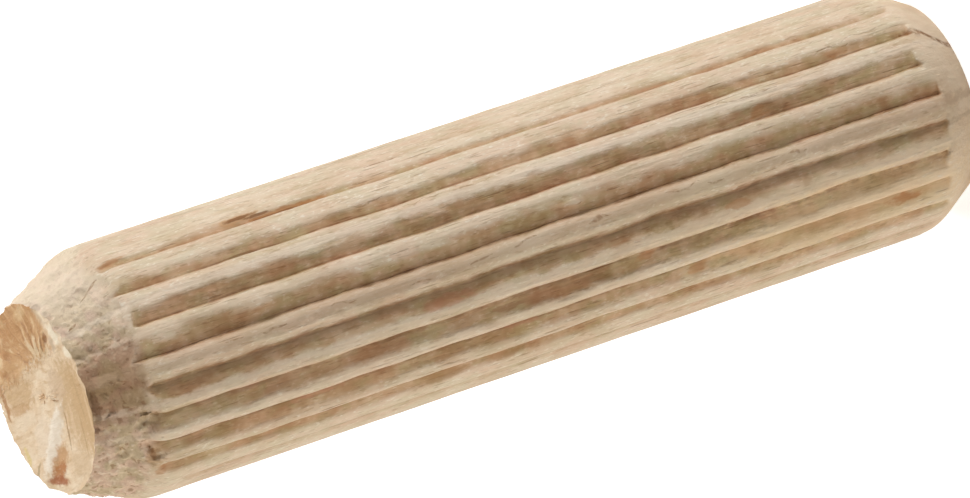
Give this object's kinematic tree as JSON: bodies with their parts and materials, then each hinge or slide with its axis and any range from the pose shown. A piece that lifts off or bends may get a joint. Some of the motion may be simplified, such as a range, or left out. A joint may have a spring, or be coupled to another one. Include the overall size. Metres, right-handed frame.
{
  "type": "fluted dowel pin",
  "caption": "Round wooden pin with straight flutes along its shaft and a taper at each end, pressed and glued into holes to join boards.",
  "frame": {"origin": "centre of the clean end's flat face, on which the pin stands", "axes": "+Z along the pin's axis, from the clean end to the torn end; a flute lies on +X"},
  "size_m": [0.01, 0.01, 0.04],
  "materials": {
    "beech": "bare, with burnished flutes, crushed tapers and one torn end"
  },
  "bodies": {
    "root": {"dowel_pin": "beech"}
  },
  "joints": []
}
